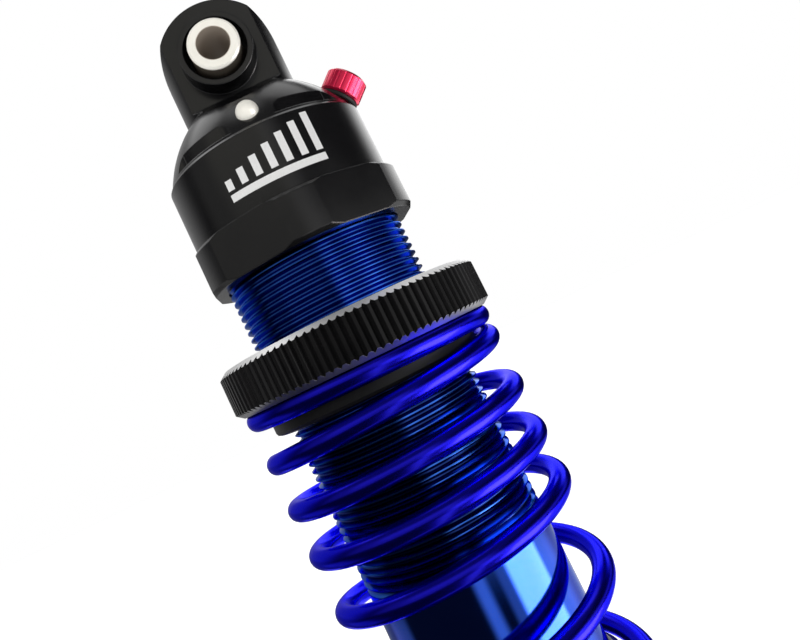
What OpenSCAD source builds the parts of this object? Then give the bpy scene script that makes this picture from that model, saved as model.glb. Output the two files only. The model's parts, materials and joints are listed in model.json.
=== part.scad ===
// Coil-over damper for a large-scale model car.
// Millimetres. The origin is the centre of the upper eye, the damper's axis is Z with
// the upper eye at the top, and both eye bores lie along Y. The bleed screw is on +X.

/* [Upper eye] */
// Diameter of the hole through both pivot balls
eye_bore_d = 4.2; // [3.2:0.1:4.6]
// Width of the upper pivot ball, face to face
top_ball_w = 17.6; // [16.4:0.2:20]
// Diameter of the upper ball's end faces
top_ball_face_d = 6.6; // [5.6:0.1:6.8]
// Diameter of the upper ball's sphere
top_ball_d = 8.8; // [8.4:0.1:9]
// Radius of the round top of the eye tab
tab_r = 7.7; // [7.2:0.1:7.7]
// Diameter of the turned neck below the eye
neck_d = 15.5; // [15.5:0.1:16]
// Thickness of the flat eye tab
tab_t = 9.4; // [8.4:0.2:10]
// Distance over the two round bosses beside the ball
boss_w = 14.8; // [13.6:0.2:15.4]
// Diameter of a boss where it meets the tab
boss_base_d = 10.3; // [10.1:0.1:10.8]
// Diameter of a boss at its open end
boss_end_d = 9.5; // [9.2:0.1:10]
// Diameter of the boss on the back, which holds the ball's retainer
boss_back_d = 12; // [11.6:0.1:12.6]
// Opening of a boss round the ball's neck
boss_bore_d = 8.1; // [7.8:0.1:8.2]

/* [Cap] */
// Diameter of the cap's plain cylinder
cap_d = 26.9; // [26.5:0.1:26.9]
// Diameter over the corners of the wrench flange
flange_d = 28.8; // [28.2:0.1:29.4]
// Distance across the six wrench flats
flange_flats = 27; // [27:0.1:27.6]
// Turn of the wrench flats about the axis
flange_turn = -27; // [-30:0.5:30]
// Depth of the cap's shoulder below the eye
rim_depth = 12.95; // [12.8:0.05:13.2]
// Depth of the top of the wrench flange below the eye
flange_top_depth = 21.8; // [20:0.2:23]
// Depth of the cap's lower face below the eye
cap_bottom_depth = 27.85; // [27:0.05:28.5]
// Diameter of the steel ball that plugs the cross-drilled passage
plug_d = 2.8; // [2:0.1:3]

/* [Bleed screw] */
// Diameter of the bleed screw's head
bleed_head_d = 5.5; // [5:0.1:6]
// Height of the bleed screw's head
bleed_head_h = 2.95; // [2.4:0.05:3.6]
// Diameter of the bleed screw's shank
bleed_shank_d = 2.9; // [2.4:0.1:3]
// Lean of the bleed screw away from the damper's axis
bleed_lean = 48; // [44:1:50]

/* [Body] */
// Outside diameter of the body and of its thread
body_d = 24; // [23.8:0.1:24]
// Bore of the body
bore_d = 20.6; // [20:0.1:20.8]
// Pitch of the body's thread
thread_pitch = 1; // [0.8:0.1:1.2]
// Depth of the body's thread
thread_depth = 0.6; // [0.4:0.05:0.7]
// Depth of the end of the thread below the eye
thread_end_depth = 68.4; // [60:0.2:78]
// Depth of the body's lower end below the eye
body_bottom_depth = 94; // [93.6:0.1:94.4]

/* [Spring adjuster] */
// Diameter over the teeth of the adjuster collar
collar_d = 35.2; // [34.6:0.1:36]
// Height of the adjuster collar
collar_h = 6.1; // [5.8:0.1:6.6]
// Depth of the collar's lower face, where the spring sits, below the eye
spring_top_depth = 42.8; // [40:0.1:46]
// Number of teeth round the collar
tooth_count = 110; // [60:1:120]
// Depth of a tooth
tooth_depth = 0.42; // [0.2:0.02:0.5]
// Outside diameter of the perch sleeve inside the spring
perch_d = 28; // [27.4:0.1:28.2]
// Height of the perch sleeve below the collar
perch_h = 3.85; // [3:0.05:5]

/* [Coil spring] */
// Outside diameter of the spring
spring_d = 33.7; // [33.6:0.1:34.2]
// Diameter of the spring wire
wire_d = 2.6; // [2.2:0.1:2.7]
// Pitch of the close upper coils
close_pitch = 6.1; // [5:0.1:7]
// Pitch of the open lower coils
open_pitch = 12.4; // [10:0.1:14]
// Turns from the top of the spring to where it opens out
close_turns = 3.9; // [3:0.1:5]
// Depth of the lower spring seat below the eye
spring_seat_depth = 137; // [136.9:0.05:137.1]

/* [Damper rod] */
// Diameter of the piston shaft
shaft_d = 5; // [4:0.1:5]
// Diameter of the piston
piston_d = 20.4; // [19.6:0.1:20.4]
// Thickness of the piston
piston_h = 4; // [3:0.1:5]
// Number of oil holes through the piston
piston_holes = 6; // [3:1:8]
// Depth of the lower eye below the upper eye
eye_to_eye = 156; // [155:0.5:158]
// Outside diameter of the lower eye
rod_end_d = 14.4; // [14:0.2:16]
// Thickness of the lower eye
rod_end_t = 6.4; // [6:0.1:6.8]
// Width of the lower pivot ball, face to face
rod_ball_w = 10; // [8.6:0.2:12]
// Diameter of the lower pivot ball's sphere
rod_ball_d = 10; // [9.8:0.1:10.2]

/* [Hidden] */
$fn = 96;

// Gaps: between turning or sliding pairs, and between a mating pair that stays put
slide_gap = 0.05;
turn_gap = 0.08;
// Extra length so that a cut passes right through what it cuts
cut = 1;

neck_r = neck_d / 2;
cap_r = cap_d / 2;
flange_r = flange_d / 2;
body_r = body_d / 2;
bore_r = bore_d / 2;
shaft_r = shaft_d / 2;
top_ball_r = top_ball_d / 2;
eye_bore_r = eye_bore_d / 2;

// The shoulder between neck and cylinder is an arc that starts at dome_top on the neck
dome_top = -6.2;
dome_bulge_r = 16;
rim_z = -rim_depth;
rim_bevel = 0.35;
// The tab's flats stop at a sloping floor that runs out into the shoulder
flat_end_z = -5.45;
flat_floor_slope = 28;
// Milled recesses in the shoulder, on each side of a rib in the middle
recess_r = 12;
recess_cutter_r = 1.4;
recess_end_step = 0.1;
recess_start = 18;
recess_sweep = 32;
plug_pos = [0, -11.93, -10.92];
plug_lean = 50;
plug_passage_r = 0.6;
plug_passage_l = 7;

// Inside the cap
cap_roof_z = -14.8;
cap_bottom_z = -cap_bottom_depth;
body_top_z = -17.6;
oring_wire_r = 0.55;
seat_z = body_top_z + 2 * oring_wire_r;

// The bleed screw's axis passes through bleed_pos, the underside of its head
bleed_pos = [12.2, 0, -10.05];
bleed_oring_r = 0.3;
bleed_oring_mid_r = 2.3;
bleed_pocket_gap = 0.3;
bleed_shank_l = 4.2;
bleed_hole_l = 4.6;
bleed_passage_l = 8;
bleed_passage_r = 0.7;
bleed_flutes = 20;

// Spherical seats of the upper ball
race_gap = 0.04;
race_r = 4.9;
race_half_l = 2.6;
boss_y = boss_w / 2;

// The collar
spring_top_z = -spring_top_depth;
collar_bevel_h = 0.72;
collar_bevel_w = 0.92;
collar_groove_z = spring_top_z + 4.1;
perch_flange_h = 0.8;
perch_flange_r = 15.9;
perch_edge_r = 0.5;

// Spring: half-turn transitions are given in turns below the reference angle
spring_r = spring_d / 2 - wire_d / 2;
spring_ref_angle = 60 - 90;
wire_sides = 10;
wire_steps = 24;
// How far the wire's centre lies inside the ground end faces
ground_depth = 0.95;
end_flat_top = 0.42;
tip_top = -0.08;
end_ramp = 0.28;
tip_clear_turns = 0.64;
steep_pitch = 7.2;
steep_to = 1.1;
settle_to = 1.4;
open_over = 0.6;
spring_seat_z = -spring_seat_depth;

// Lower cap and its seals
body_bottom_z = -body_bottom_depth;
lower_cap_r = 13.2;
lower_cap_top_z = -86;
lower_floor_z = body_bottom_z - 2 * oring_wire_r;
seal_pocket_r = 4.6;
seal_wire_r = (seal_pocket_r - shaft_r - slide_gap) / 2;
seal_mid_r = shaft_r + slide_gap + seal_wire_r;
clip_h = 0.5;
clip_z = lower_floor_z;
seal_spacer_h = 0.8;
seal_upper_z = clip_z - clip_h - seal_wire_r;
spacer_z = seal_upper_z - seal_wire_r;
seal_lower_z = spacer_z - seal_spacer_h - seal_wire_r;
bushing_z = seal_lower_z - seal_wire_r;
bushing_h = 2.5;
lower_cap_lip = 1.4;
lower_cap_bottom_z = bushing_z - bushing_h - lower_cap_lip;

// Rod assembly, drawn fully extended
piston_bottom_z = -88.5;
washer_h = 0.6;
stud_r = 1.5;
nut_h = 3;
nut_flats = 5.5;
stud_over = 0.7;
shoulder_z = piston_bottom_z - washer_h;
cup_floor_h = 2.2;
cup_bottom_z = spring_seat_z - cup_floor_h;
cup_r = 17.4;
cup_rim_h = 1.2;
cup_sleeve_r = 13.8;
cup_sleeve_h = 4;
bump_h = 5;
rod_end_top_z = cup_bottom_z;
rod_end_shank_r = 4.4;
rod_eye_z = -eye_to_eye;
rod_ball_r = rod_ball_d / 2;
rod_ball_neck_r = 2.9;
shaft_thread_l = 9;

// Solid turned about Z from an outline of [radius, height] points
module turned(outline) {
  rotate_extrude() polygon(outline);
}

// Plain ring between two heights
module ring(r_out, r_in, low, high) {
  turned([[r_in, low], [r_out, low], [r_out, high], [r_in, high]]);
}

// O-ring of round section, centred at height z
module oring(mid_r, wire_r, z) {
  translate([0, 0, z]) rotate_extrude() translate([mid_r, 0]) circle(r = wire_r, $fn = 32);
}

// Cylinder along Y, centred on the XZ plane
module along_y(r, length) {
  rotate([90, 0, 0]) cylinder(r = r, h = length, center = true);
}

// Places its children in the bleed screw's own frame, Z pointing out of the cap
module bleed_frame() {
  translate(bleed_pos) rotate([0, bleed_lean, 0]) children();
}

// ---- Cap ----

// The shoulder's arc: where a circle of radius dome_bulge_r through both ends is centred
dome_a = [neck_r, dome_top];
dome_b = [cap_r - rim_bevel, rim_z];
dome_mid = (dome_a + dome_b) / 2;
dome_half = norm(dome_b - dome_a) / 2;
dome_dir = (dome_b - dome_a) / norm(dome_b - dome_a);
dome_c = dome_mid + sqrt(dome_bulge_r * dome_bulge_r - dome_half * dome_half)
  * [dome_dir[1], -dome_dir[0]];

module cap_outline() {
  edge = 0.5;
  join = 1;
  polygon([
    [0, rim_z], [cap_r - rim_bevel, rim_z], [cap_r, rim_z - rim_bevel], [cap_r, -flange_top_depth],
    [flange_r - edge, -flange_top_depth], [flange_r, -flange_top_depth - edge],
    [flange_r, cap_bottom_z + edge], [flange_r - edge, cap_bottom_z], [0, cap_bottom_z]
  ]);
  intersection() {
    translate(dome_c) circle(r = dome_bulge_r, $fn = 180);
    translate([0, rim_z - join]) square([cap_r - rim_bevel, dome_top + cut - rim_z + join]);
  }
}

// The tab and neck, before the flats are cut
module cap_neck() {
  intersection() {
    translate([0, 0, dome_top - 4]) cylinder(r = neck_r, h = 4 - dome_top + tab_r);
    union() {
      along_y(tab_r, 2 * neck_d);
      translate([-neck_d, -neck_d, -neck_d]) cube([2 * neck_d, 2 * neck_d, neck_d]);
    }
  }
}

// What the cutter takes away in front of one face of the tab
module flat_cut() {
  reach = 12;
  drop = reach * tan(flat_floor_slope);
  rotate([90, 0, 90]) linear_extrude(height = 3 * neck_d, center = true) polygon([
    [-tab_t / 2, tab_r + cut], [-tab_t / 2, flat_end_z],
    [-tab_t / 2 - reach, flat_end_z - drop], [-tab_t / 2 - reach, tab_r + cut]
  ]);
}

// One recess in the shoulder: a round-ended slot that is open to the outside
module recess_cut() {
  floor_z = rim_z + rim_bevel;
  path_r = recess_r + recess_cutter_r + recess_end_step;
  rotate([0, 0, recess_start - 90]) rotate_extrude(angle = recess_sweep)
    translate([recess_r, floor_z]) square([4, 6]);
  for (a = [recess_start, recess_start + recess_sweep])
    rotate([0, 0, a - 90]) translate([path_r, 0, floor_z])
      cylinder(r = recess_cutter_r, h = 6);
}

// Round boss that stands out of the tab along -Y
module boss(base_r, end_r) {
  rotate([90, 0, 0]) cylinder(r1 = base_r, r2 = end_r, h = boss_y);
}

module wrench_flats() {
  translate([0, 0, cap_bottom_z - cut])
    rotate([0, 0, flange_turn]) difference() {
      cylinder(r = flange_r + cut, h = cap_bottom_depth - flange_top_depth + 2 * cut);
      translate([0, 0, -cut])
        cylinder(r = flange_flats / sqrt(3), h = 20, $fn = 6);
    }
}

module cap_cavities() {
  // Threaded socket for the body, then the oil space above it
  ring(body_r + slide_gap, 0, cap_bottom_z - cut, seat_z);
  ring(bore_r, 0, seat_z - cut, cap_roof_z);
  // Pocket for the ball and its seats, open at the back
  translate([0, (boss_y + cut - race_half_l) / 2, 0])
    along_y(race_r, boss_y + cut + race_half_l);
  along_y(boss_bore_d / 2, boss_w + 2 * cut);
  bleed_frame() {
    translate([0, 0, -bleed_hole_l]) cylinder(r = bleed_shank_d / 2 + slide_gap, h = 8);
    translate([0, 0, -bleed_passage_l]) cylinder(r = bleed_passage_r, h = 8, $fn = 24);
    translate([0, 0, -2 * bleed_oring_r]) cylinder(r = bleed_head_d / 2 + bleed_pocket_gap, h = 8);
  }
  // Hole for the ball plug, and the passage that it closes
  translate(plug_pos) rotate([plug_lean, 0, 0]) {
    translate([0, 0, -plug_d / 2]) cylinder(r = plug_d / 2, h = 4, $fn = 48);
    translate([0, 0, -plug_passage_l]) cylinder(r = plug_passage_r, h = plug_passage_l, $fn = 24);
  }
}

module shock_cap() {
  color([0.05, 0.05, 0.055]) difference() {
    union() {
      difference() {
        union() {
          cap_neck();
          rotate_extrude() cap_outline();
        }
        flat_cut();
        mirror([0, 1, 0]) flat_cut();
        for (x = [0, 1], y = [0, 1])
          mirror([x, 0, 0]) mirror([0, y, 0]) recess_cut();
        wrench_flats();
      }
      boss(boss_base_d / 2, boss_end_d / 2);
      mirror([0, 1, 0]) boss(boss_back_d / 2, boss_back_d / 2 - 0.2);
    }
    cap_cavities();
  }
}

module cap_oring() {
  color([0.08, 0.08, 0.08]) oring(body_r - oring_wire_r - 0.2, oring_wire_r, body_top_z + oring_wire_r);
}

module passage_plug() {
  color([0.8, 0.8, 0.78]) translate(plug_pos) sphere(r = plug_d / 2, $fn = 48);
}

// Ball with a neck on each side and a hole through it, along Y
module pivot_ball(ball_r, neck_radius, width) {
  bevel = 0.25;
  rotate([90, 0, 0]) difference() {
    union() {
      sphere(r = ball_r);
      turned([
        [0, -width / 2], [neck_radius - bevel, -width / 2],
        [neck_radius, -width / 2 + bevel], [neck_radius, width / 2 - bevel],
        [neck_radius - bevel, width / 2], [0, width / 2]
      ]);
    }
    cylinder(r = eye_bore_r, h = width + 2 * cut, center = true);
  }
}

module top_pivot_ball() {
  color([0.85, 0.84, 0.8]) pivot_ball(top_ball_r, top_ball_face_d / 2, top_ball_w);
}

// Half of the split liner: a ring with a spherical inside, reaching to y = side * race_half_l
module ball_race(side) {
  difference() {
    translate([0, side * race_half_l / 2, 0]) along_y(race_r, race_half_l);
    sphere(r = top_ball_r + race_gap);
    along_y(boss_bore_d / 2 - 0.6, boss_w);
  }
}

module ball_race_front() {
  color([0.12, 0.12, 0.12]) ball_race(-1);
}

module ball_race_rear() {
  color([0.12, 0.12, 0.12]) ball_race(1);
}

module ball_retainer() {
  length = boss_y - race_half_l;
  color([0.07, 0.07, 0.07]) translate([0, race_half_l + length / 2, 0]) difference() {
    along_y(race_r, length);
    along_y(boss_bore_d / 2, length + cut);
  }
}

// ---- Bleed screw ----

module bleed_screw() {
  head_r = bleed_head_d / 2;
  flute_r = 0.22;
  flute_depth = 0.05;
  socket_af = 2;
  socket_depth = 1.5;
  color([0.9, 0.12, 0.32]) bleed_frame() difference() {
    turned([
      [0, -bleed_shank_l], [bleed_shank_d / 2 - 0.3, -bleed_shank_l],
      [bleed_shank_d / 2, -bleed_shank_l + 0.3], [bleed_shank_d / 2, 0],
      [head_r - 0.25, 0], [head_r, 0.25], [head_r, bleed_head_h - 0.3],
      [head_r - 0.3, bleed_head_h], [0, bleed_head_h]
    ]);
    for (i = [0 : bleed_flutes - 1])
      rotate([0, 0, i * 360 / bleed_flutes]) translate([head_r + flute_r - flute_depth, 0, -cut])
        cylinder(r = flute_r, h = bleed_head_h + 2 * cut, $fn = 16);
    translate([0, 0, bleed_head_h - socket_depth])
      cylinder(r = socket_af / sqrt(3), h = socket_depth + cut, $fn = 6);
  }
}

module bleed_oring() {
  color([0.05, 0.05, 0.05]) bleed_frame()
    oring(bleed_oring_mid_r, bleed_oring_r, -bleed_oring_r);
}

// ---- Body ----

module shock_body() {
  crest = 0.18;
  flank = thread_depth * tan(30);
  root = thread_pitch - crest - 2 * flank;
  start_z = cap_bottom_z + 0.4;
  turns = floor((thread_end_depth + start_z) / thread_pitch);
  bottom_bevel = 0.6;
  color([0.05, 0.15, 0.75]) turned(concat(
    [[bore_r, body_bottom_z], [body_r - bottom_bevel, body_bottom_z],
      [body_r, body_bottom_z + bottom_bevel]],
    [for (i = [turns - 1 : -1 : 0], p = [3 : -1 : 0])
      let (z = start_z - i * thread_pitch)
        p == 3 ? [body_r, z - crest - 2 * flank - root]
        : p == 2 ? [body_r - thread_depth, z - crest - flank - root]
        : p == 1 ? [body_r - thread_depth, z - crest - flank]
        : [body_r, z - crest]],
    [[body_r, body_top_z - 0.3], [body_r - 0.3, body_top_z], [bore_r, body_top_z]]
  ));
}

// ---- Spring adjuster ----

module adjuster_collar() {
  r = collar_d / 2;
  top_z = spring_top_z + collar_h;
  step = 360 / tooth_count;
  land = 0.18;
  groove_d = 1.3;
  color([0.06, 0.06, 0.06]) difference() {
    intersection() {
      translate([0, 0, spring_top_z]) linear_extrude(height = collar_h)
        polygon([for (i = [0 : tooth_count - 1], p = [-land, land, 0.5])
          let (a = (i + p) * step)
            (p == 0.5 ? r - tooth_depth : r) * [cos(a), sin(a)]]);
      turned([
        [0, spring_top_z], [r - collar_bevel_w, spring_top_z],
        [r, spring_top_z + collar_bevel_h], [r, top_z - collar_bevel_h],
        [r - collar_bevel_w, top_z], [0, top_z]
      ]);
    }
    ring(body_r + turn_gap, 0, spring_top_z - cut, top_z + cut);
    ring(perch_flange_r + turn_gap, 0, spring_top_z - cut,
      spring_top_z + perch_flange_h + slide_gap);
    ring(body_r + groove_d, 0, collar_groove_z - groove_d / 2, collar_groove_z + groove_d / 2);
  }
}

module collar_oring() {
  wire_r = 0.6;
  color([0.05, 0.05, 0.05]) oring(body_r + slide_gap + wire_r, wire_r, collar_groove_z);
}

module spring_perch() {
  bottom_z = spring_top_z - perch_h;
  r = perch_d / 2;
  color([0.07, 0.07, 0.07]) turned([
    [body_r + turn_gap, bottom_z], [r - perch_edge_r, bottom_z],
    [r - 0.15, bottom_z + 0.15], [r, bottom_z + perch_edge_r],
    [r, spring_top_z], [perch_flange_r, spring_top_z],
    [perch_flange_r, spring_top_z + perch_flange_h],
    [body_r + turn_gap, spring_top_z + perch_flange_h]
  ]);
}

// ---- Coil spring ----

// Height lost by a pitch that goes evenly from p0 to p1 over n turns, at t turns into it
function drop(p0, p1, n, t) =
  let (s = max(0, min(t, n))) p0 * s + (p1 - p0) * s * s / (2 * n);

// Depth of the wire's centre below the end coil, at u turns
function fall_upper(u) =
  drop(0, steep_pitch, end_ramp, u - end_flat_top)
  + drop(steep_pitch, steep_pitch, steep_to - end_flat_top - end_ramp, u - end_flat_top - end_ramp)
  + drop(steep_pitch, close_pitch, settle_to - steep_to, u - steep_to)
  + drop(close_pitch, close_pitch, close_turns - settle_to, u - settle_to)
  + drop(close_pitch, open_pitch, open_over, u - close_turns);

spring_drop = spring_seat_depth - spring_top_depth - 2 * ground_depth;
open_from = close_turns + open_over;
end_drop = open_pitch * end_ramp / 2;
open_turns = (spring_drop - fall_upper(open_from) - end_drop) / open_pitch;
end_from = open_from + open_turns;
tip_bottom = end_from + end_ramp + tip_clear_turns;

function wire_fall(u) =
  fall_upper(u)
  + drop(open_pitch, open_pitch, open_turns, u - open_from)
  + drop(open_pitch, 0, end_ramp, u - end_from);

// A ring of the wire's section at u turns; the end faces are ground flat
function wire_ring(u) =
  let (a = spring_ref_angle - 360 * u, z = spring_top_z - ground_depth - wire_fall(u))
  [for (i = [0 : wire_sides - 1])
    let (b = (i + 0.5) * 360 / wire_sides, r = spring_r + wire_d / 2 * cos(b))
    [r * cos(a), r * sin(a),
      max(spring_seat_z, min(spring_top_z, z + wire_d / 2 * sin(b)))]];

module coil_spring() {
  n = ceil((tip_bottom - tip_top) * wire_steps);
  rings = [for (k = [0 : n]) wire_ring(tip_top + (tip_bottom - tip_top) * k / n)];
  points = [for (r = rings, p = r) p];
  sides = [for (k = [0 : n - 1], i = [0 : wire_sides - 1])
    let (j = (i + 1) % wire_sides, a = k * wire_sides, b = a + wire_sides)
    each [[a + i, b + i, b + j], [a + i, b + j, a + j]]];
  start = [for (i = [0 : wire_sides - 1]) i];
  end = [for (i = [wire_sides - 1 : -1 : 0]) n * wire_sides + i];
  color([0.15, 0.1, 0.9]) polyhedron(points = points, faces = concat(sides, [start], [end]));
}

// ---- Rod assembly ----

module piston_shaft() {
  nut_top = piston_bottom_z + piston_h + nut_h;
  color([0.75, 0.76, 0.78]) turned([
    [0, rod_end_top_z - shaft_thread_l], [shaft_r, rod_end_top_z - shaft_thread_l],
    [shaft_r, shoulder_z], [stud_r, shoulder_z], [stud_r, nut_top + stud_over],
    [0, nut_top + stud_over]
  ]);
}

module piston() {
  hole_r = 0.8;
  low = piston_bottom_z;
  high = piston_bottom_z + piston_h;
  groove = 0.5;
  color([0.93, 0.93, 0.9]) difference() {
    turned([
      [stud_r, low], [piston_d / 2 - 0.4, low], [piston_d / 2, low + 0.4],
      [piston_d / 2, low + piston_h / 2 - groove], [piston_d / 2 - groove, low + piston_h / 2 - groove],
      [piston_d / 2 - groove, low + piston_h / 2 + groove], [piston_d / 2, low + piston_h / 2 + groove],
      [piston_d / 2, high - 0.4], [piston_d / 2 - 0.4, high], [stud_r, high]
    ]);
    for (i = [0 : piston_holes - 1])
      rotate([0, 0, i * 360 / piston_holes]) translate([6.5, 0, low - cut])
        cylinder(r = hole_r, h = piston_h + 2 * cut, $fn = 24);
  }
}

module piston_washer() {
  color([0.7, 0.7, 0.7]) ring(4.5, stud_r, shoulder_z, piston_bottom_z);
}

module piston_nut() {
  low = piston_bottom_z + piston_h;
  color([0.7, 0.7, 0.7]) translate([0, 0, low]) difference() {
    cylinder(r = nut_flats / sqrt(3), h = nut_h, $fn = 6);
    translate([0, 0, -cut]) cylinder(r = stud_r, h = nut_h + 2 * cut);
  }
}

module lower_cap() {
  bevel = 0.8;
  clip_groove = 0.5;
  color([0.05, 0.05, 0.055]) difference() {
    turned([
      [0, lower_cap_bottom_z], [8, lower_cap_bottom_z], [9, lower_cap_bottom_z + 1],
      [lower_cap_r - 1.6, lower_cap_bottom_z + 5], [lower_cap_r, lower_cap_bottom_z + 6.6],
      [lower_cap_r, lower_cap_top_z - bevel], [lower_cap_r - bevel, lower_cap_top_z],
      [0, lower_cap_top_z]
    ]);
    ring(body_r + slide_gap, 0, lower_floor_z, lower_cap_top_z + cut);
    ring(seal_pocket_r, 0, bushing_z - bushing_h, lower_floor_z + cut);
    ring(shaft_r + turn_gap, 0, lower_cap_bottom_z - cut, bushing_z);
    ring(seal_pocket_r + clip_groove, 0, clip_z - clip_h, clip_z + cut);
  }
}

module lower_cap_oring() {
  color([0.08, 0.08, 0.08])
    oring(body_r - oring_wire_r - 0.3, oring_wire_r, body_bottom_z - oring_wire_r);
}

module seal_clip() {
  color([0.6, 0.6, 0.62]) ring(seal_pocket_r + 0.5, shaft_r + 0.5, clip_z - clip_h, clip_z);
}

module shaft_seal_upper() {
  color([0.7, 0.25, 0.1]) oring(seal_mid_r, seal_wire_r, seal_upper_z);
}

module seal_spacer() {
  color([0.9, 0.9, 0.88])
    ring(seal_pocket_r, shaft_r + turn_gap, spacer_z - seal_spacer_h, spacer_z);
}

module shaft_seal_lower() {
  color([0.7, 0.25, 0.1]) oring(seal_mid_r, seal_wire_r, seal_lower_z);
}

module shaft_bushing() {
  color([0.9, 0.9, 0.88])
    ring(seal_pocket_r, shaft_r + slide_gap, bushing_z - bushing_h, bushing_z);
}

module bump_rubber() {
  low = spring_seat_z;
  color([0.1, 0.1, 0.1]) turned([
    [shaft_r, low], [4.9, low], [5.1, low + 1], [4.2, low + bump_h - 1.2],
    [3.6, low + bump_h - 0.3], [3.2, low + bump_h], [shaft_r, low + bump_h]
  ]);
}

// Cup under the spring, with a slot so that it slips onto the shaft from the side
module lower_spring_cup() {
  web = 1.6;
  hole_r = shaft_r + turn_gap;
  color([0.06, 0.06, 0.06]) difference() {
    turned([
      [0, cup_bottom_z], [cup_r - 1.5, cup_bottom_z], [cup_r, cup_bottom_z + 1.5],
      [cup_r, spring_seat_z + cup_rim_h], [cup_r - 0.4, spring_seat_z + cup_rim_h],
      [cup_r - 0.4, spring_seat_z], [cup_sleeve_r, spring_seat_z],
      [cup_sleeve_r, spring_seat_z + cup_sleeve_h - 0.6],
      [cup_sleeve_r - 0.6, spring_seat_z + cup_sleeve_h],
      [cup_sleeve_r - web, spring_seat_z + cup_sleeve_h],
      [cup_sleeve_r - web, spring_seat_z], [0, spring_seat_z]
    ]);
    ring(hole_r, 0, cup_bottom_z - cut, spring_seat_z + cut);
    translate([-hole_r, 0, cup_bottom_z - cut])
      cube([2 * hole_r, cup_r + cut, cup_floor_h + cup_sleeve_h + 3 * cut]);
  }
}

module rod_end() {
  eye_r = rod_end_d / 2;
  shank_z = rod_eye_z + eye_r - 0.6;
  color([0.08, 0.08, 0.08]) difference() {
    union() {
      translate([0, 0, rod_eye_z]) along_y(eye_r, rod_end_t);
      turned([
        [0, shank_z], [rod_end_shank_r, shank_z], [rod_end_shank_r, rod_end_top_z - 2.5],
        [rod_end_shank_r + 1, rod_end_top_z - 1.5], [rod_end_shank_r + 1, rod_end_top_z - 0.4],
        [rod_end_shank_r + 0.6, rod_end_top_z], [0, rod_end_top_z]
      ]);
    }
    translate([0, 0, rod_eye_z]) sphere(r = rod_ball_r + race_gap);
    translate([0, 0, rod_end_top_z - shaft_thread_l]) cylinder(r = shaft_r, h = shaft_thread_l + cut);
  }
}

module rod_end_ball() {
  color([0.85, 0.84, 0.8]) translate([0, 0, rod_eye_z])
    pivot_ball(rod_ball_r, rod_ball_neck_r, rod_ball_w);
}

shock_cap();
cap_oring();
passage_plug();
top_pivot_ball();
ball_race_front();
ball_race_rear();
ball_retainer();
bleed_screw();
bleed_oring();
shock_body();
adjuster_collar();
collar_oring();
spring_perch();
coil_spring();
piston_shaft();
piston();
piston_washer();
piston_nut();
lower_cap();
lower_cap_oring();
seal_clip();
shaft_seal_upper();
seal_spacer();
shaft_seal_lower();
shaft_bushing();
bump_rubber();
lower_spring_cup();
rod_end();
rod_end_ball();
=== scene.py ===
import json
import math

import bpy
from mathutils import Matrix, Vector


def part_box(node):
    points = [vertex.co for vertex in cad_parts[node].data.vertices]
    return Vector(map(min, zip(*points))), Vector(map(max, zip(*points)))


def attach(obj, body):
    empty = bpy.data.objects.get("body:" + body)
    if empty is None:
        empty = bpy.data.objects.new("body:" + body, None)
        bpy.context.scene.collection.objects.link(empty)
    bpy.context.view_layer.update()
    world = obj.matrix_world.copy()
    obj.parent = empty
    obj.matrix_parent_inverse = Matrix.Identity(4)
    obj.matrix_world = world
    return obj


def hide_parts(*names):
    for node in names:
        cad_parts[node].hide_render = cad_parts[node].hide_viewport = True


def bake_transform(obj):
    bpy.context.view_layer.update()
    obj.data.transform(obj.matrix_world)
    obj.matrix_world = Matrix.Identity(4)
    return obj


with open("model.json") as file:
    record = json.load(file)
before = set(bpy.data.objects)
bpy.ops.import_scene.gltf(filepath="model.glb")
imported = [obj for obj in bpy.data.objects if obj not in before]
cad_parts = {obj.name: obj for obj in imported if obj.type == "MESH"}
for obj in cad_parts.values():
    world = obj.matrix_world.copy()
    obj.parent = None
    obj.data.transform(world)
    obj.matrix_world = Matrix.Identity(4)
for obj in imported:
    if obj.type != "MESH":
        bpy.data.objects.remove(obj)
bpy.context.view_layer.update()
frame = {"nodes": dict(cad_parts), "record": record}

MM = 0.001
NODES = frame["nodes"]
SCENE = bpy.context.scene

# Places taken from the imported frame, in metres
BODY_LOW, BODY_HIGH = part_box("shock_body")
SPRING_LOW, SPRING_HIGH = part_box("coil_spring")
COLLAR_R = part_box("adjuster_collar")[1].x
OBJECT_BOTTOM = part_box("rod_end")[0].z
BODY_R = BODY_HIGH.x

# The cap's cylinder above its flange
CAP_R = 13.45 * MM

# The two eyes: both bores lie along Y
EYE_BORE_R = 2.1 * MM
LOWER_EYE_Z = next(m["pos_m"][2] for m in frame["record"]["mounts"] if m["name"] == "lower_eye")

# Thread and bore of the body, as in the CAD source
THREAD_PITCH = 1.0 * MM
THREAD_DEPTH = 0.6 * MM
THREAD_END = -68.4 * MM
BORE_R = 10.3 * MM

# How the thread is cut: shares of the pitch, then lengths
THREAD_CREST = 0.16
THREAD_ROOT = 0.16
THREAD_ROUNDING = 0.10
THREAD_RUNOUT = 0.9 * THREAD_PITCH

# Bevels at the two ends of the body
BODY_LOW_BEVEL = 0.6 * MM
BODY_TOP_BEVEL_H = 0.3 * MM
BODY_TOP_BEVEL_W = 0.9 * MM

# Coil spring, as in the CAD source: pitches in metres, places along the wire in turns
WIRE_R = 1.3 * MM
GROUND_DEPTH = 0.95 * MM
SPRING_START_ANGLE = math.radians(60 - 90)
CLOSE_PITCH = 6.1 * MM
OPEN_PITCH = 12.4 * MM
STEEP_PITCH = 7.2 * MM
CLOSE_TURNS = 3.9
OPEN_OVER = 0.6
END_FLAT_TOP = 0.42
END_RAMP = 0.28
TIP_TOP = -0.08
TIP_CLEAR_TURNS = 0.64
STEEP_TO = 1.1
SETTLE_TO = 1.4
# Where the two halves of the spring's mesh meet, behind the body
SPRING_SPLIT = 2 + 2 / 3


# ---- Node helpers ----

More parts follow.
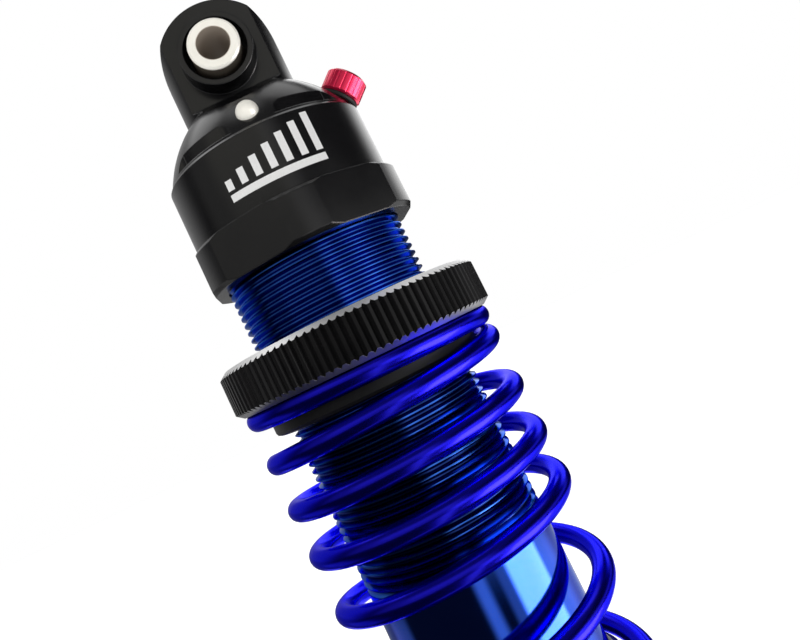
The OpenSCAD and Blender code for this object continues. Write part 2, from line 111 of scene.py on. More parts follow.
def link_or_set(tree, socket, value):
    """Feeds a socket with another socket or a plain value."""
    if isinstance(value, bpy.types.NodeSocket):
        tree.links.new(value, socket)
    else:
        socket.default_value = value


def opaque(colour):
    """A socket as it is, or a plain colour with full alpha."""
    return colour if isinstance(colour, bpy.types.NodeSocket) else (*colour, 1.0)


def maths(tree, operation, a, b=0.0, c=0.0):
    node = tree.nodes.new("ShaderNodeMath")
    node.operation = operation
    for socket, value in zip(node.inputs, (a, b, c)):
        link_or_set(tree, socket, value)
    return node.outputs[0]


def one_minus(tree, value):
    return maths(tree, "SUBTRACT", 1.0, value)


def length_of(tree, a, b):
    """Distance of the point (a, b) from the origin."""
    squares = maths(tree, "ADD", maths(tree, "MULTIPLY", a, a), maths(tree, "MULTIPLY", b, b))
    return maths(tree, "SQRT", squares)


def ramp_between(tree, value, low, high):
    """0 below low, 1 above high, smooth in between."""
    node = tree.nodes.new("ShaderNodeMapRange")
    node.interpolation_type = "SMOOTHSTEP"
    link_or_set(tree, node.inputs["Value"], value)
    node.inputs["From Min"].default_value = low
    node.inputs["From Max"].default_value = high
    return node.outputs["Result"]


def mix_colour(tree, factor, a, b, blend="MIX"):
    node = tree.nodes.new("ShaderNodeMix")
    node.data_type = "RGBA"
    node.blend_type = blend
    link_or_set(tree, node.inputs["Factor"], factor)
    link_or_set(tree, node.inputs[6], opaque(a))
    link_or_set(tree, node.inputs[7], opaque(b))
    return node.outputs[2]


def split_vector(tree, vector):
    """The x, y and z of a vector."""
    node = tree.nodes.new("ShaderNodeSeparateXYZ")
    tree.links.new(vector, node.inputs[0])
    return node.outputs


def object_place(tree):
    """A point in the object's own frame, in metres."""
    return tree.nodes.new("ShaderNodeTexCoord").outputs["Object"]


def height_and_radius(tree, place):
    """A point's height along the damper's axis and its distance from it."""
    x, y, z = split_vector(tree, place)
    return z, length_of(tree, x, y)


def noise(tree, vector, scale, detail=3.0, rough=0.55):
    node = tree.nodes.new("ShaderNodeTexNoise")
    tree.links.new(vector, node.inputs["Vector"])
    node.inputs["Scale"].default_value = scale
    node.inputs["Detail"].default_value = detail
    node.inputs["Roughness"].default_value = rough
    return node.outputs["Fac"]


def lathe_lines(tree, z, radius, per_metre):
    """Fine rings round the axis, as a turning tool leaves."""
    vector = tree.nodes.new("ShaderNodeCombineXYZ")
    link_or_set(tree, vector.inputs[0], maths(tree, "MULTIPLY", z, per_metre))
    link_or_set(tree, vector.inputs[1], maths(tree, "MULTIPLY", radius, per_metre))
    return noise(tree, vector.outputs[0], scale=1.0, detail=2.0, rough=0.6)


def bump(tree, height, depth, strength, normal=None):
    node = tree.nodes.new("ShaderNodeBump")
    node.inputs["Strength"].default_value = strength
    node.inputs["Distance"].default_value = depth
    tree.links.new(height, node.inputs["Height"])
    if normal is not None:
        tree.links.new(normal, node.inputs["Normal"])
    return node.outputs["Normal"]


def rounded_edges(tree, radius):
    node = tree.nodes.new("ShaderNodeBevel")
    node.samples = 6
    node.inputs["Radius"].default_value = radius
    return node.outputs["Normal"]


def edge_wear(tree, rounded):
    """1 where a rounded edge leaves the flat surface, 0 on the open faces."""
    normal = tree.nodes.new("ShaderNodeNewGeometry").outputs["Normal"]
    dot = tree.nodes.new("ShaderNodeVectorMath")
    dot.operation = "DOT_PRODUCT"
    tree.links.new(rounded, dot.inputs[0])
    tree.links.new(normal, dot.inputs[1])
    return ramp_between(tree, one_minus(tree, dot.outputs["Value"]), 0.02, 0.25)


def new_material(name, metallic=0.0, ior=1.5, coat=0.0, coat_roughness=0.03):
    """A material whose roughness is left to the caller."""
    material = bpy.data.materials.new(name)
    material.use_nodes = True
    tree = material.node_tree
    shader = tree.nodes["Principled BSDF"]
    shader.inputs["Metallic"].default_value = metallic
    shader.inputs["IOR"].default_value = ior
    shader.inputs["Coat Weight"].default_value = coat
    shader.inputs["Coat Roughness"].default_value = coat_roughness
    return material, tree, shader


# ---- Materials ----

# Turning marks, in lines per metre
TURNED = 9000.0
FINELY_TURNED = 14000.0

# The bright cut of the collar's chamfers: how far in it reaches, and how steeply its faces lean
CHAMFER_REACH = (COLLAR_R - 1.05 * MM, COLLAR_R - 1.0 * MM)
CHAMFER_LEAN = (0.35, 0.45)
FLAT_LEAN = (0.93, 0.97)

# Where painted shade darkens the neck of a ball: along its bore, then outwards from the bore's middle
NECK_END = (8.2 * MM, 8.5 * MM)
NECK_ROOT = (6.0 * MM, 6.5 * MM)
NECK_FACE = (2.9 * MM, 3.1 * MM)
BORE_WALL = (EYE_BORE_R + 0.02 * MM, EYE_BORE_R + 0.12 * MM)


def black_anodised():
    """Turned and milled aluminium, dyed black: a dark satin face, paler where an edge has rubbed."""
    material, tree, shader = new_material("black_anodised", ior=1.55)
    place = object_place(tree)
    z, radius = height_and_radius(tree, place)
    rounded = rounded_edges(tree, 0.22 * MM)
    worn = edge_wear(tree, rounded)
    cloud = noise(tree, place, scale=260.0, detail=4.0)
    base = mix_colour(tree, cloud, (0.0020, 0.0020, 0.0026), (0.005, 0.0048, 0.005))
    edge = maths(tree, "MULTIPLY", worn, maths(tree, "MULTIPLY", cloud, 0.35))
    tree.links.new(mix_colour(tree, edge, base, (0.12, 0.12, 0.13)), shader.inputs["Base Color"])
    tree.links.new(maths(tree, "MULTIPLY_ADD", cloud, 0.10, 0.17), shader.inputs["Roughness"])
    lines = lathe_lines(tree, z, radius, TURNED)
    scored = bump(tree, lines, depth=0.004 * MM, strength=0.35, normal=rounded)
    tree.links.new(scored, shader.inputs["Normal"])
    return material


def knurl_anodised():
    """The adjuster collar: black teeth, with both chamfers cut bright after anodising, and painted shade
    on the downward-facing lower chamfer.
    """
    material, tree, shader = new_material("knurl_anodised", ior=1.36)
    place = object_place(tree)
    z, radius = height_and_radius(tree, place)
    normal = tree.nodes.new("ShaderNodeTexCoord").outputs["Normal"]
    upwards = split_vector(tree, normal)[2]
    tilt = maths(tree, "ABSOLUTE", upwards)
    leaning = ramp_between(tree, tilt, *CHAMFER_LEAN)
    not_flat = one_minus(tree, ramp_between(tree, tilt, *FLAT_LEAN))
    sloping = maths(tree, "MULTIPLY", leaning, not_flat)
    bright = maths(tree, "MULTIPLY", sloping, ramp_between(tree, radius, *CHAMFER_REACH))
    cloud = noise(tree, place, scale=300.0, detail=4.0)
    base = mix_colour(tree, cloud, (0.0025, 0.0025, 0.003), (0.006, 0.0058, 0.006))
    # Painted shade: the lower chamfer faces down and is darker than the upper one
    upper = ramp_between(tree, upwards, -0.2, 0.2)
    cut = mix_colour(tree, upper, (0.42, 0.42, 0.43), (0.98, 0.98, 0.98))
    tree.links.new(mix_colour(tree, bright, base, cut), shader.inputs["Base Color"])
    tree.links.new(bright, shader.inputs["Metallic"])
    rough = maths(tree, "MULTIPLY_ADD", bright, 0.15, 0.2)
    tree.links.new(maths(tree, "MULTIPLY_ADD", cloud, 0.1, rough), shader.inputs["Roughness"])
    shader.inputs["Specular IOR Level"].default_value = 0.3
    rounded = rounded_edges(tree, 0.05 * MM)
    lines = lathe_lines(tree, z, radius, TURNED)
    scored = bump(tree, lines, depth=0.004 * MM, strength=0.3, normal=rounded)
    tree.links.new(scored, shader.inputs["Normal"])
    return material


def blue_anodised():
    """Bright-dipped aluminium, dyed blue: a tinted mirror, with painted shade in the thread's roots. Its
    clear skin is thinner on the thread.
    """
    material, tree, shader = new_material("blue_anodised", metallic=1.0, coat_roughness=0.04)
    shader.inputs["Specular Tint"].default_value = (0.3, 0.45, 1.0, 1.0)
    place = object_place(tree)
    z, radius = height_and_radius(tree, place)
    cloud = noise(tree, place, scale=220.0, detail=4.0)
    threaded = ramp_between(tree, z, THREAD_END - THREAD_PITCH, THREAD_END)
    smooth_dye = mix_colour(tree, cloud, (0.003, 0.055, 0.50), (0.006, 0.080, 0.60))
    crest_dye = mix_colour(tree, cloud, (0.020, 0.105, 0.50), (0.028, 0.135, 0.60))
    crest = ramp_between(tree, radius, BODY_R - 0.9 * THREAD_DEPTH, BODY_R - 0.1 * THREAD_DEPTH)
    # Painted shade: the thread's roots are darker, and much darker below the collar, where the spring
    # closes round the thread
    clear_of_spring_shade = ramp_between(tree, z, SPRING_HIGH.z - 4 * MM, SPRING_HIGH.z + 2 * MM)
    root_painted_shade = mix_colour(tree, clear_of_spring_shade, (0.004, 0.024, 0.15), (0.016, 0.090, 0.44))
    thread_dye_and_shade = mix_colour(tree, crest, root_painted_shade, crest_dye)
    tree.links.new(mix_colour(tree, threaded, smooth_dye, thread_dye_and_shade), shader.inputs["Base Color"])
    tree.links.new(maths(tree, "MULTIPLY_ADD", threaded, -0.35, 0.55), shader.inputs["Coat Weight"])
    rough = maths(tree, "MULTIPLY_ADD", threaded, 0.06, 0.07)
    tree.links.new(maths(tree, "MULTIPLY_ADD", cloud, 0.05, rough), shader.inputs["Roughness"])
    lines = lathe_lines(tree, z, radius, FINELY_TURNED)
    tree.links.new(bump(tree, lines, depth=0.002 * MM, strength=0.25), shader.inputs["Normal"])
    return material


def red_anodised():
    """Pink-red anodised aluminium, soft from its etch, with paler rubbed edges."""
    material, tree, shader = new_material("red_anodised", metallic=0.78, coat=0.4, coat_roughness=0.12)
    cloud = noise(tree, object_place(tree), scale=700.0, detail=4.0)
    rounded = rounded_edges(tree, 0.12 * MM)
    base = mix_colour(tree, cloud, (0.84, 0.012, 0.075), (0.90, 0.02, 0.10))
    rubbed = mix_colour(tree, edge_wear(tree, rounded), base, (1.0, 0.12, 0.22))
    tree.links.new(rubbed, shader.inputs["Base Color"])
    tree.links.new(maths(tree, "MULTIPLY_ADD", cloud, 0.1, 0.28), shader.inputs["Roughness"])
    etched = bump(tree, cloud, depth=0.004 * MM, strength=0.15, normal=rounded)
    tree.links.new(etched, shader.inputs["Normal"])
    return material


def spring_paint():
    """Blue candy powder coat over the wire, with faint orange peel."""
    material, tree, shader = new_material("spring_paint", metallic=1.0, coat=0.1, coat_roughness=0.1)
    shader.inputs["Specular Tint"].default_value = (0.25, 0.22, 1.0, 1.0)
    place = object_place(tree)
    cloud = noise(tree, place, scale=180.0)
    paint = mix_colour(tree, cloud, (0.010, 0.007, 0.72), (0.018, 0.012, 0.9))
    tree.links.new(paint, shader.inputs["Base Color"])
    tree.links.new(maths(tree, "MULTIPLY_ADD", cloud, 0.06, 0.23), shader.inputs["Roughness"])
    peel = noise(tree, place, scale=2200.0, detail=2.0)
    tree.links.new(bump(tree, peel, depth=0.02 * MM, strength=0.08), shader.inputs["Normal"])
    return material


def steel(name, dark, light, low_roughness, high_roughness):
    material, tree, shader = new_material(name, metallic=1.0)
    cloud = noise(tree, object_place(tree), scale=500.0, detail=5.0, rough=0.6)
    tree.links.new(mix_colour(tree, cloud, dark, light), shader.inputs["Base Color"])
    spread = high_roughness - low_roughness
    tree.links.new(maths(tree, "MULTIPLY_ADD", cloud, spread, low_roughness), shader.inputs["Roughness"])
    rounded = rounded_edges(tree, 0.08 * MM)
    grained = bump(tree, cloud, depth=0.004 * MM, strength=0.2, normal=rounded)
    tree.links.new(grained, shader.inputs["Normal"])
    return material


def ball_steel():
    """Hardened steel ball, pale on its ground faces. Its bore is dull, and painted shade darkens the root
    of its necks.
    """
    material, tree, shader = new_material("ball_steel", metallic=0.15)
    place = object_place(tree)
    x, y, z = split_vector(tree, place)
    cloud = noise(tree, place, scale=500.0, detail=5.0, rough=0.6)
    from_top_eye = maths(tree, "ABSOLUTE", z)
    from_low_eye = maths(tree, "ABSOLUTE", maths(tree, "SUBTRACT", z, LOWER_EYE_Z))
    height = maths(tree, "MINIMUM", from_top_eye, from_low_eye)
    from_bore = length_of(tree, x, height)
    deep = one_minus(tree, ramp_between(tree, maths(tree, "ABSOLUTE", y), *NECK_END))
    on_neck = one_minus(tree, ramp_between(tree, from_bore, *NECK_ROOT))
    behind_face = maths(tree, "MULTIPLY", deep, on_neck)
    # Painted shade on the neck behind the face, where it sits in the gap of its race
    neck = maths(tree, "MULTIPLY", behind_face, ramp_between(tree, from_bore, *NECK_FACE))
    bright = mix_colour(tree, cloud, (0.84, 0.81, 0.73), (0.95, 0.93, 0.86))
    faced = mix_colour(tree, neck, bright, (0.09, 0.075, 0.06))
    outside = ramp_between(tree, from_bore, *BORE_WALL)
    tree.links.new(mix_colour(tree, outside, (0.42, 0.36, 0.30), faced), shader.inputs["Base Color"])
    tree.links.new(maths(tree, "MULTIPLY_ADD", cloud, 0.12, 0.3), shader.inputs["Roughness"])
    rounded = rounded_edges(tree, 0.15 * MM)
    grained = bump(tree, cloud, depth=0.004 * MM, strength=0.2, normal=rounded)
    tree.links.new(grained, shader.inputs["Normal"])
    return material


def moulded(name, dark, light, roughness, grain_scale=1500.0, ior=1.5):
    """Plastic or rubber with a fine moulded grain."""
    material, tree, shader = new_material(name, ior=ior)
    grain = noise(tree, object_place(tree), scale=grain_scale, detail=4.0, rough=0.6)
    tree.links.new(mix_colour(tree, grain, dark, light), shader.inputs["Base Color"])
    tree.links.new(maths(tree, "MULTIPLY_ADD", grain, 0.15, roughness - 0.07), shader.inputs["Roughness"])
    rounded = rounded_edges(tree, 0.1 * MM)
    grained = bump(tree, grain, depth=0.01 * MM, strength=0.3, normal=rounded)
    tree.links.new(grained, shader.inputs["Normal"])
    return material


def etched_mark():
    """Laser etching that has bared the pale aluminium."""
    material, tree, shader = new_material("etched_mark", metallic=0.1, ior=1.45)
    shader.inputs["Roughness"].default_value = 0.6
    grain = noise(tree, object_place(tree), scale=4000.0)
    bared = mix_colour(tree, grain, (0.64, 0.64, 0.64), (0.76, 0.76, 0.75))
    tree.links.new(bared, shader.inputs["Base Color"])
    tree.links.new(bump(tree, grain, depth=0.005 * MM, strength=0.3), shader.inputs["Normal"])
    return material


MATERIALS = {
    "black_anodised": black_anodised(),
    "knurl_anodised": knurl_anodised(),
    "blue_anodised": blue_anodised(),
    "red_anodised": red_anodised(),
    "spring_paint": spring_paint(),
    "ball_steel": ball_steel(),
    "plain_steel": steel("plain_steel", (0.42, 0.42, 0.43), (0.6, 0.6, 0.6), 0.28, 0.5),
    "shaft_chrome": steel("shaft_chrome", (0.72, 0.73, 0.75), (0.84, 0.85, 0.87), 0.04, 0.12),
    "liner_plastic": moulded("liner_plastic", (0.003, 0.003, 0.0032), (0.008, 0.008, 0.0082), 0.42,
                             ior=1.36),
    "white_plastic": moulded("white_plastic", (0.74, 0.73, 0.68), (0.86, 0.85, 0.80), 0.4),
    "seal_rubber": moulded("seal_rubber", (0.006, 0.006, 0.006), (0.018, 0.017, 0.016), 0.62,
                           grain_scale=2500.0),
    "etched_mark": etched_mark(),
}
SLOT_OF = {row["node"]: row["material_slot"] for row in frame["record"]["subparts"]}

# Nodes whose finish shows more than their slot's
OWN_FINISH = {
    "adjuster_collar": "knurl_anodised",
    "top_pivot_ball": "ball_steel",
    "rod_end_ball": "ball_steel",
    "passage_plug": "ball_steel",
}


def dress_cad_nodes():
    """Every CAD node gets its own finish or the material of its record slot."""
    for name, node in NODES.items():
        finish = OWN_FINISH.get(name) or SLOT_OF[name]
        node.data.materials.clear()
        node.data.materials.append(MATERIALS[finish])


# ---- Mesh helpers ----

def add_mesh(name, points, faces, material, sharp_angle=32.0):
    mesh = bpy.data.meshes.new(name)
    mesh.from_pydata([tuple(p) for p in points], [], faces)
    mesh.polygons.foreach_set("use_smooth", [True] * len(mesh.polygons))
    mesh.set_sharp_from_angle(angle=math.radians(sharp_angle))
    mesh.materials.append(MATERIALS[material])
    piece = bpy.data.objects.new(name, mesh)
    SCENE.collection.objects.link(piece)
    return piece


def on_cylinder(radius, angle, z):
    return Vector((radius * math.cos(angle), radius * math.sin(angle), z))


# ---- Threaded body ----

def thread_depth_at(share):
    """Depth of the thread, from 0 at the crest to 1 at the root. share counts pitches from a crest."""
    away = abs(share - round(share)) * 2
    slope = min(1.0, max(0.0, (away - THREAD_CREST) / (1 - THREAD_CREST - THREAD_ROOT)))
    soft = slope * slope * (3 - 2 * slope)
    return slope + (soft - slope) * THREAD_ROUNDING


def threaded_tube():
    """The body as one closed mesh whose rows follow the thread's helix."""
    columns, rows_per_pitch = 144, 12
    low_z, high_z = THREAD_END - 0.5 * THREAD_PITCH, BODY_HIGH.z - BODY_TOP_BEVEL_H
    first = math.floor((low_z - THREAD_PITCH) / THREAD_PITCH) * rows_per_pitch
    last = math.ceil(high_z / THREAD_PITCH) * rows_per_pitch
    points, index, faces = [], {}, []

    def corner(column, row):
        """The vertex of one row of the helix, which at the thread's ends is the end ring's."""
        turned, column = divmod(column, columns)
        row += turned * rows_per_pitch
        z = (row / rows_per_pitch + column / columns) * THREAD_PITCH
        key = (column, "low" if z <= low_z else "high" if z >= high_z else row)
        if key not in index:
            index[key] = len(points)
            place = min(high_z, max(low_z, z))
            fade = min(1.0, max(0.0, (place - THREAD_END) / THREAD_RUNOUT))
            radius = BODY_R - THREAD_DEPTH * fade * thread_depth_at(row / rows_per_pitch)
            points.append(on_cylinder(radius, 2 * math.pi * column / columns, place))
        return index[key]

    for column in range(columns):
        for row in range(first, last):
            quad = [corner(column, row), corner(column + 1, row),
                    corner(column + 1, row + 1), corner(column, row + 1)]
            face = [v for i, v in enumerate(quad) if v != quad[i - 1]]
            if len(face) > 2:
                faces.append(face)

    # Plain rings from the thread's lower end round the bottom, up the bore and over the top
    outline = [(BODY_R, BODY_LOW.z + BODY_LOW_BEVEL), (BODY_R - BODY_LOW_BEVEL, BODY_LOW.z),
               (BORE_R, BODY_LOW.z), (BORE_R, BODY_HIGH.z), (BODY_R - BODY_TOP_BEVEL_W, BODY_HIGH.z)]
    rings = [[index[(c, "low")] for c in range(columns)]]
    for radius, z in outline:
        rings.append(range(len(points), len(points) + columns))
        points += [on_cylinder(radius, 2 * math.pi * c / columns, z) for c in range(columns)]
    rings.append([index[(c, "high")] for c in range(columns)])
    for upper, lower in zip(rings, rings[1:]):
        for c in range(columns):
            d = (c + 1) % columns
            faces.append([upper[c], lower[c], lower[d], upper[d]])
    piece = add_mesh("threaded_body", points, faces, "blue_anodised", sharp_angle=38.0)
    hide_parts("shock_body")
    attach(piece, "damper_body")


# ---- Coil spring ----

def drop(from_pitch, to_pitch, turns, at):
    """Height lost by a pitch that changes evenly over some turns, at a place along them."""
    s = max(0.0, min(at, turns))
    return from_pitch * s + (to_pitch - from_pitch) * s * s / (2 * turns)


def upper_fall(u):
    """Height lost from the flat top coil through the close coils to the first open one."""
    steep_from = END_FLAT_TOP + END_RAMP
    return (drop(0, STEEP_PITCH, END_RAMP, u - END_FLAT_TOP)
            + drop(STEEP_PITCH, STEEP_PITCH, STEEP_TO - steep_from, u - steep_from)
            + drop(STEEP_PITCH, CLOSE_PITCH, SETTLE_TO - STEEP_TO, u - STEEP_TO)
            + drop(CLOSE_PITCH, CLOSE_PITCH, CLOSE_TURNS - SETTLE_TO, u - SETTLE_TO)
            + drop(CLOSE_PITCH, OPEN_PITCH, OPEN_OVER, u - CLOSE_TURNS))


SPRING_DROP = SPRING_HIGH.z - SPRING_LOW.z - 2 * GROUND_DEPTH
OPEN_FROM = CLOSE_TURNS + OPEN_OVER
OPEN_LENGTH = (SPRING_DROP - upper_fall(OPEN_FROM) - OPEN_PITCH * END_RAMP / 2) / OPEN_PITCH
END_FROM = OPEN_FROM + OPEN_LENGTH
TIP_BOTTOM = END_FROM + END_RAMP + TIP_CLEAR_TURNS


def wire_fall(u):
    """Depth of the wire's centre below the top end coil, u turns along the spring."""
    return (upper_fall(u) + drop(OPEN_PITCH, OPEN_PITCH, OPEN_LENGTH, u - OPEN_FROM)
            + drop(OPEN_PITCH, 0, END_RAMP, u - END_FROM))


def spring_part(name, start, end, share_of_travel):
    """A stretch of the spring. share_of_travel is worked out for each ring of the wire, but the shares
    are not used.
    """
    steps_per_turn, sides, nudge = 88, 28, 1e-4
    coil_r = SPRING_HIGH.x - WIRE_R
    top_z = SPRING_HIGH.z - GROUND_DEPTH
    count = math.ceil((end - start) * steps_per_turn)
    points, shares = [], []
    for k in range(count + 1):
        u = start + (end - start) * k / count
        angle = SPRING_START_ANGLE - 2 * math.pi * u
        centre = on_cylinder(coil_r, angle, top_z - wire_fall(u))
        slope = (wire_fall(u + nudge) - wire_fall(u - nudge)) / (2 * nudge)
        outward = on_cylinder(1.0, angle, 0.0)
        upward = Vector((slope * math.sin(angle), -slope * math.cos(angle), 2 * math.pi * coil_r))
        upward.normalize()
        for i in range(sides):
            turn = 2 * math.pi * (i + 0.5) / sides
            point = centre + WIRE_R * (math.cos(turn) * outward + math.sin(turn) * upward)
            point.z = min(SPRING_HIGH.z, max(SPRING_LOW.z, point.z))
            points.append(point)
            shares.append(share_of_travel(u))
    faces = []
    for k in range(count):
        here, there = k * sides, (k + 1) * sides
        for i in range(sides):
            j = (i + 1) % sides
            faces.append([here + i, there + i, there + j, here + j])
    faces.append(list(range(sides)))
    faces.append([count * sides + i for i in reversed(range(sides))])
    piece = add_mesh(name, points, faces, "spring_paint")
    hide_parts("coil_spring")
    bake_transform(piece)


def spring():
    """The spring in two pieces that meet behind the body: the upper coils and the lower ones."""
    held = wire_fall(SPRING_SPLIT)
    whole = wire_fall(TIP_BOTTOM)
    spring_part("spring_upper_coils", TIP_TOP, SPRING_SPLIT,
                lambda u: min(1.0, wire_fall(u) / held))
    spring_part("spring_lower_coils", SPRING_SPLIT, TIP_BOTTOM,
                lambda u: min(1.0, (wire_fall(u) - held) / (whole - held)))


# ---- Etched mark on the cap ----

MARK_STROKE = 0.9 * MM
MARK_HEIGHT = 0.015 * MM
# How far below the cap's surface a stroke starts
MARK_SUNK = 0.02 * MM

# The row of bars: heights of the base line and of the bars, then degrees from the front
MARK_BASE_Z = -19.6 * MM
MARK_LOWEST, MARK_HIGHEST = 1.3 * MM, 4.9 * MM
MARK_LEFT, MARK_RIGHT = -24.0, 25.0
MARK_OVERHANG = 2.0
MARK_BARS = 7


def etched_bar(name, low, high):
    """A flat stroke on the cap's cylinder between two points: (degrees from the front, height)."""
    (a0, z0), (a1, z1) = low, high
    steps = 12
    along = Vector((math.radians(a1 - a0) * CAP_R, z1 - z0))
    side = Vector((-along.y, along.x)).normalized() * MARK_STROKE / 2
    points = []
    for layer in (-MARK_SUNK, MARK_HEIGHT):
        for k in range(steps + 1):
            middle = Vector((math.radians(a0) * CAP_R, z0)) + along * k / steps
            for place in (middle - side, middle + side):
                points.append(on_cylinder(CAP_R + layer, place.x / CAP_R - math.pi / 2, place.y))
    top = 2 * (steps + 1)
    faces = []
    for k in range(steps):
        a = 2 * k
        faces.append([top + a, top + a + 2, top + a + 3, top + a + 1])
        faces.append([a, a + 1, a + 3, a + 2])
        faces.append([a, a + 2, top + a + 2, top + a])
        faces.append([a + 1, top + a + 1, top + a + 3, a + 3])
    faces.append([0, top, top + 1, 1])
    faces.append([2 * steps, 2 * steps + 1, top + 2 * steps + 1, top + 2 * steps])
    piece = add_mesh(name, points, faces, "etched_mark")
    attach(piece, "damper_body")


def mark():
    """A generic row of level bars that grow from left to right over a base line."""
    etched_bar("mark_base_line", (MARK_LEFT - MARK_OVERHANG, MARK_BASE_Z),
               (MARK_RIGHT + MARK_OVERHANG, MARK_BASE_Z))
    foot = MARK_BASE_Z + MARK_STROKE
    for i in range(MARK_BARS):
        share = i / (MARK_BARS - 1)
        angle = MARK_LEFT + (MARK_RIGHT - MARK_LEFT) * share
        height = MARK_LOWEST + (MARK_HIGHEST - MARK_LOWEST) * share
        etched_bar(f"mark_level_{i + 1}", (angle, foot), (angle, foot + height))


# ---- Stage ----

CAMERA_PLACE = Vector((-2.526, -94.858, -42.3)) * MM
CAMERA_AZIMUTH = -0.022
CAMERA_ELEVATION = 0.101
CAMERA_ROLL = -0.449
CAMERA_LENS = 33.2
CAMERA_SENSOR = 36.0
CAMERA_SHIFT = (0.091, -0.0352)
CAMERA_CLIP = (0.005, 60.0)


def camera():
    data = bpy.data.cameras.new("camera")
    data.sensor_width = CAMERA_SENSOR
    data.lens = CAMERA_LENS
    data.shift_x, data.shift_y = CAMERA_SHIFT
    data.clip_start, data.clip_end = CAMERA_CLIP
    level = Vector((-math.sin(CAMERA_AZIMUTH), math.cos(CAMERA_AZIMUTH), 0.0))
    side = Vector((math.cos(CAMERA_AZIMUTH), math.sin(CAMERA_AZIMUTH), 0.0))
    forward = math.cos(CAMERA_ELEVATION) * level + math.sin(CAMERA_ELEVATION) * Vector((0, 0, 1))
    head = side.cross(forward)
    right = math.cos(CAMERA_ROLL) * side + math.sin(CAMERA_ROLL) * head
    up = math.cos(CAMERA_ROLL) * head - math.sin(CAMERA_ROLL) * side
    turn = Matrix((right, up, -forward)).transposed().to_4x4()
    seen_by = bpy.data.objects.new("camera", data)
    seen_by.matrix_world = Matrix.Translation(CAMERA_PLACE) @ turn
    SCENE.collection.objects.link(seen_by)
    SCENE.camera = seen_by


FLOOR_HALF = 2.5
FLOOR_GAP = 0.2 * MM
FLOOR_GLOW = 0.72


def floor():
    """A plain pale sheet under the lower eye. It doesn't mirror in the metal."""
    z = OBJECT_BOTTOM - FLOOR_GAP
    mesh = bpy.data.meshes.new("floor")
    corners = [(x * FLOOR_HALF, y * FLOOR_HALF, z) for x, y in ((-1, -1), (1, -1), (1, 1), (-1, 1))]
    mesh.from_pydata(corners, [], [(0, 1, 2, 3)])
    sheet = bpy.data.objects.new("floor", mesh)
    SCENE.collection.objects.link(sheet)
    material, _, shader = new_material("pale_sheet")
    shader.inputs["Roughness"].default_value = 0.9
    shader.inputs["Base Color"].default_value = (0.8, 0.8, 0.8, 1.0)
    shader.inputs["Emission Color"].default_value = (1.0, 1.0, 1.0, 1.0)
    shader.inputs["Emission Strength"].default_value = FLOOR_GLOW
    mesh.materials.append(material)
    sheet.visible_glossy = False


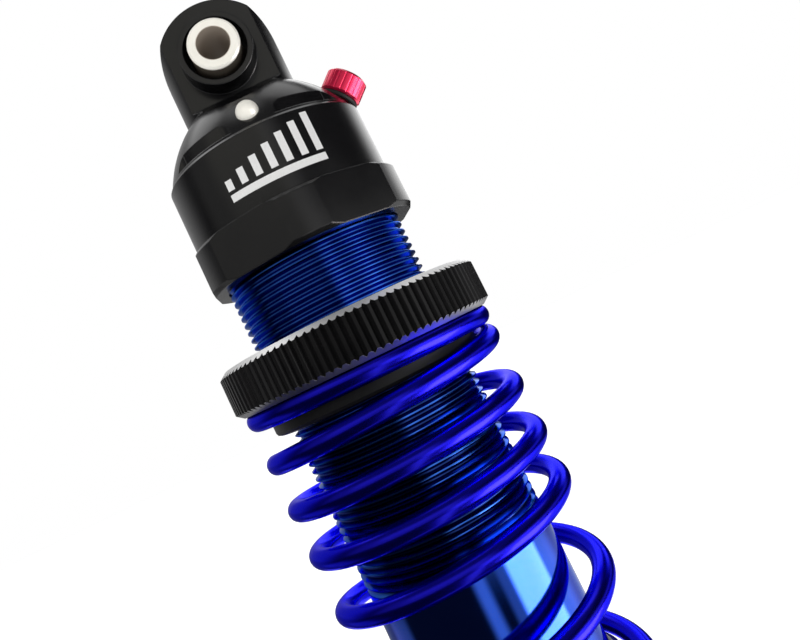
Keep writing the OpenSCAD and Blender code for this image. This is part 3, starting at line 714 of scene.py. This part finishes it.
# Soft boxes round the object, seen from it. Each has its azimuth (from -Y towards +X), then its
# elevation, both as (middle, half width, soft edge) in degrees, and then its colour times its strength
SOFT_BOXES = {
    "back_left": ((-152.0, 36.0, 18.0), (30.0, 55.0, 15.0), (0.25, 0.25, 0.25)),
    "back_left_all": ((-150.0, 40.0, 18.0), (38.0, 40.0, 4.0), (0.18, 0.18, 0.18)),
    "back_right": ((155.0, 30.0, 14.0), (15.0, 7.5, 2.0), (1.7, 1.7, 1.7)),
    "back_right_above": ((163.0, 16.0, 6.0), (33.0, 5.5, 2.0), (2.0, 2.0, 2.0)),
    "behind": ((180.0, 30.0, 8.0), (-44.0, 18.0, 4.0), (1.6, 1.6, 1.6)),
    "left": ((-40.0, 50.0, 8.0), (21.0, 18.0, 5.0), (0.21, 0.21, 0.20)),
    "upper_left": ((-25.0, 36.0, 8.0), (27.0, 12.0, 3.0), (0.29, 0.28, 0.24)),
    "high_front": ((0.0, 110.0, 20.0), (58.0, 20.0, 8.0), (0.10, 0.10, 0.10)),
    "left_level": ((-32.0, 28.0, 8.0), (5.0, 4.0, 2.0), (0.25, 0.25, 0.25)),
    "middle_right": ((36.0, 26.0, 6.0), (-4.0, 12.0, 4.0), (1.0, 1.0, 1.0)),
    "level_right_front": ((60.0, 16.0, 8.0), (2.0, 6.0, 2.0), (0.6, 0.6, 0.6)),
    "level_right": ((92.0, 36.0, 8.0), (2.0, 6.0, 2.0), (0.5, 0.5, 0.5)),
    "low_right": ((66.0, 24.0, 4.0), (-31.0, 16.0, 2.0), (7.5, 7.0, 7.0)),
    "low_right_fade": ((97.0, 22.0, 12.0), (-31.0, 16.0, 3.0), (0.8, 0.8, 0.8)),
    "low_right_edge": ((36.0, 8.0, 4.0), (-33.0, 16.0, 3.0), (0.5, 0.5, 0.5)),
    "low_left": ((-115.0, 16.0, 6.0), (-31.0, 14.0, 3.0), (0.35, 0.35, 0.35)),
    "low_far_right": ((125.0, 42.0, 10.0), (-35.0, 19.0, 3.0), (0.7, 0.7, 0.7)),
    "front_strip": ((6.0, 7.0, 5.0), (-45.0, 31.0, 3.0), (1.0, 1.0, 1.0)),
    "front_strip_above": ((14.0, 9.0, 6.0), (14.0, 26.0, 4.0), (0.35, 0.35, 0.35)),
    "overhead": ((0.0, 200.0, 1.0), (90.0, 12.0, 4.0), (0.8, 0.8, 0.8)),
    "above_behind": ((180.0, 75.0, 10.0), (61.0, 14.0, 4.0), (1.0, 1.0, 1.0)),
    "underneath": ((0.0, 200.0, 1.0), (-90.0, 16.0, 5.0), (0.4, 0.4, 0.4)),
}
ROOM = (0.022, 0.022, 0.024)


def inside_band(tree, angle, middle, half, edge):
    """1 well inside the band, falling to 0 across the soft edge round its half width, all in degrees."""
    away = maths(tree, "WRAP", maths(tree, "SUBTRACT", angle, math.radians(middle)), math.pi, -math.pi)
    away = maths(tree, "ABSOLUTE", away)
    return one_minus(tree, ramp_between(tree, away, math.radians(half - edge), math.radians(half + edge)))


def surroundings():
    """A dark room with soft boxes in it. Straight behind the object the camera sees plain white."""
    world = bpy.data.worlds.new("surroundings")
    world.use_nodes = True
    SCENE.world = world
    tree = world.node_tree
    background = tree.nodes["Background"]
    direction = tree.nodes.new("ShaderNodeTexCoord").outputs["Generated"]
    x, y, z = split_vector(tree, direction)
    azimuth = maths(tree, "ARCTAN2", x, maths(tree, "MULTIPLY", y, -1.0))
    elevation = maths(tree, "ARCSINE", z)
    light = ROOM
    for across, along, colour in SOFT_BOXES.values():
        inside = maths(tree, "MULTIPLY", inside_band(tree, azimuth, *across),
                       inside_band(tree, elevation, *along))
        light = mix_colour(tree, inside, light, colour, blend="ADD")
    seen = tree.nodes.new("ShaderNodeLightPath").outputs["Is Camera Ray"]
    tree.links.new(mix_colour(tree, seen, light, (1.0, 1.0, 1.0)), background.inputs["Color"])


KEY_STRENGTH = 1.4
KEY_SPREAD = 25
KEY_DIRECTION = Vector((0.4, 1.0, -0.35))


def key_light():
    """A broad soft light from the front. It brightens dull faces and leaves no highlight of its own."""
    data = bpy.data.lights.new("key_light", "SUN")
    data.energy = KEY_STRENGTH
    data.angle = math.radians(KEY_SPREAD)
    lamp = bpy.data.objects.new("key_light", data)
    lamp.rotation_euler = KEY_DIRECTION.to_track_quat("-Z", "Y").to_euler()
    lamp.visible_glossy = False
    SCENE.collection.objects.link(lamp)


dress_cad_nodes()
threaded_tube()
spring()
mark()
camera()
floor()
surroundings()
key_light()
SCENE.view_settings.view_transform = "Standard"
